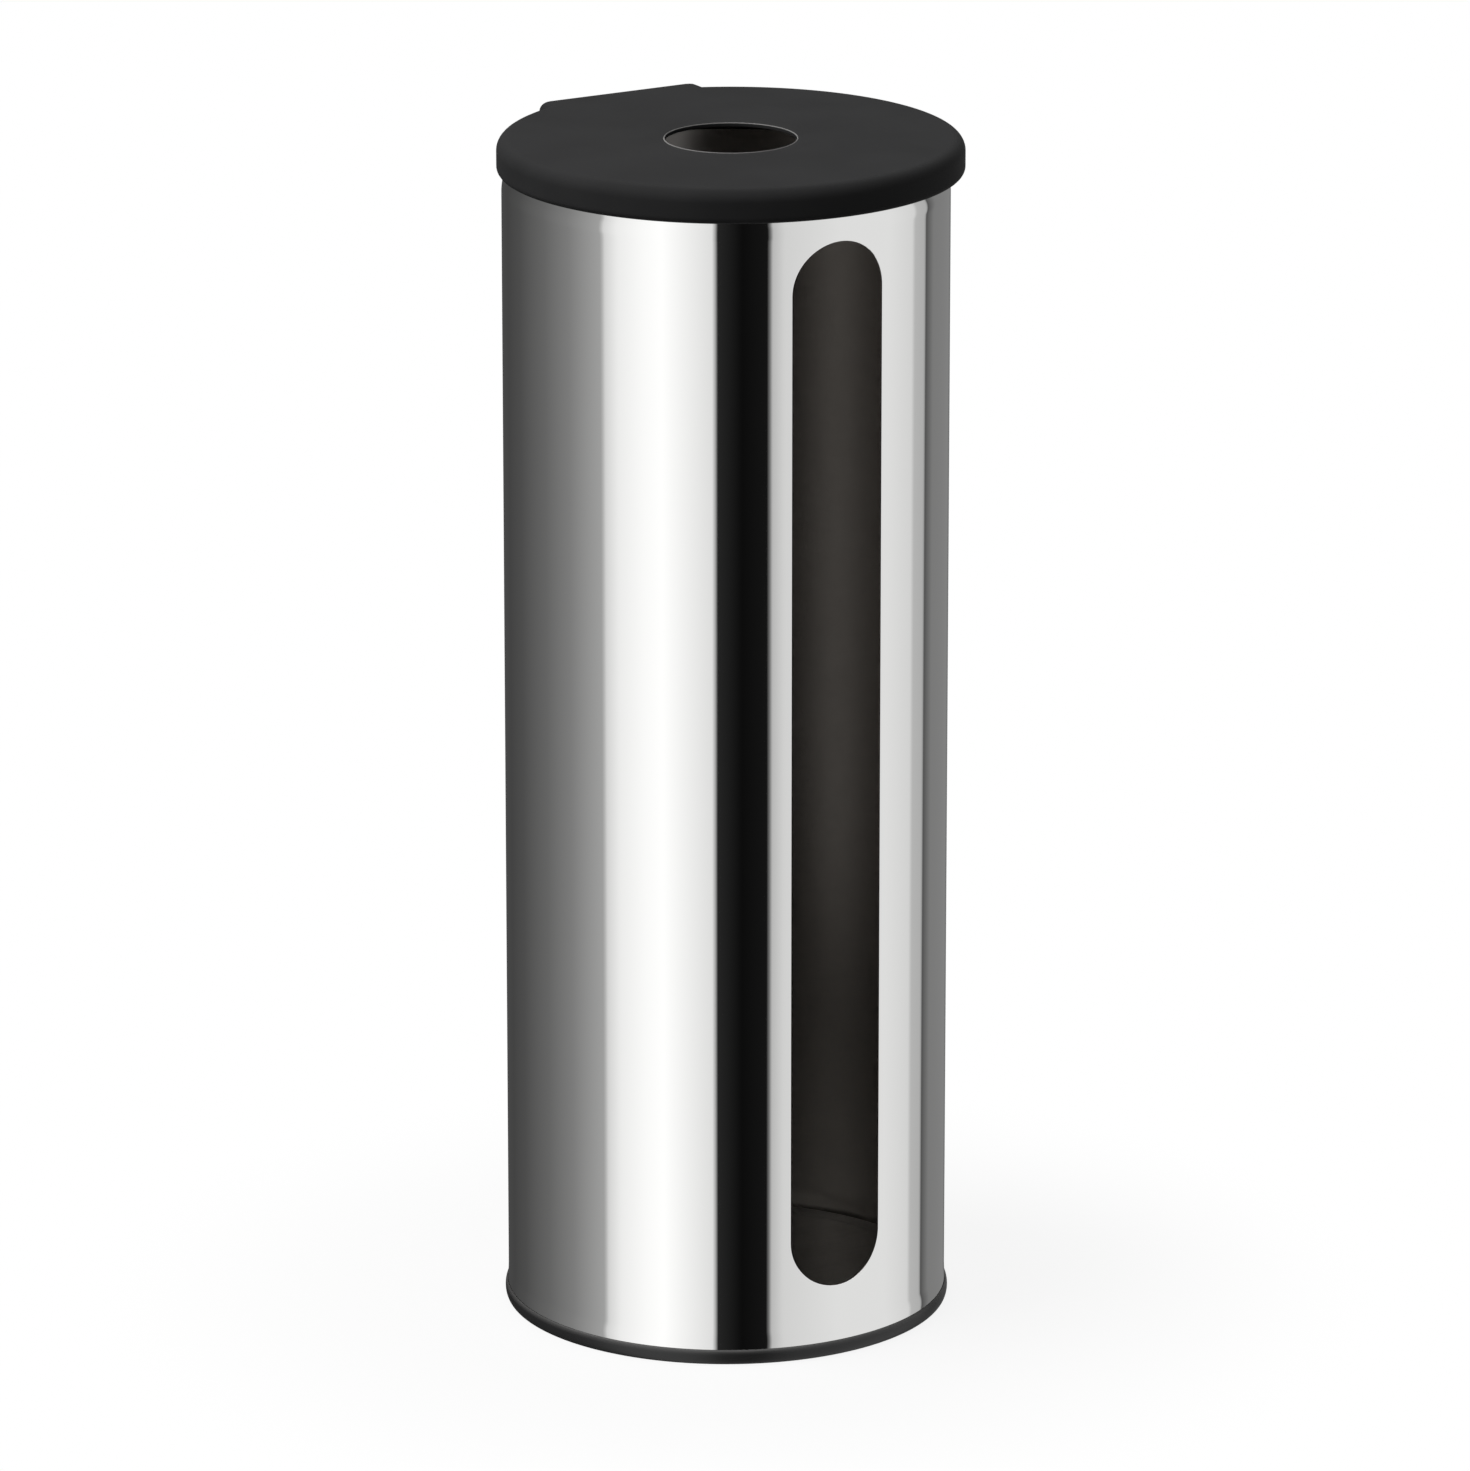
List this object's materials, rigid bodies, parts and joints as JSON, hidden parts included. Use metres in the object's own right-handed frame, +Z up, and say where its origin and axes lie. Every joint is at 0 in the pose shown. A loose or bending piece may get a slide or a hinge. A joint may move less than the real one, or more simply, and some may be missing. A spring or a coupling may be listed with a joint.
{
  "type": "toilet roll storage holder",
  "caption": "Tall polished steel tube with a slotted front, a black foot and a hinged black lid with a finger hole, for storing spare toilet rolls.",
  "frame": {"origin": "on the tube's axis, on the surface that the holder stands on", "axes": "+Z up along the tube, the slot faces -Y, the hinge is at +Y, +X to the right seen from the front"},
  "size_m": [0.1418, 0.1431, 0.3701],
  "materials": {
    "polished_steel": "mirror-polished stainless steel sheet",
    "foot_plastic": "satin black moulded plastic",
    "plate_steel": "pressed steel, mill finish",
    "inner_plastic": "matt black moulded plastic",
    "rivet_steel": "plain steel",
    "pin_steel": "ground steel",
    "lid_plastic": "matt black moulded plastic with a fine grain"
  },
  "bodies": {
    "holder": {"tube": "polished_steel", "base": "foot_plastic", "floor_plate": "plate_steel", "rim_collar": "inner_plastic", "hinge_rivets": "rivet_steel"},
    "lid": {"lid": "lid_plastic", "hinge_pin": "pin_steel"}
  },
  "joints": [
    {"name": "lid_hinge", "type": "hinge", "parent": "holder", "child": "lid", "pos_m": [0, 0.064, 0.36485], "axis": [-1, 0, 0], "range_deg": [0, 98]}
  ]
}
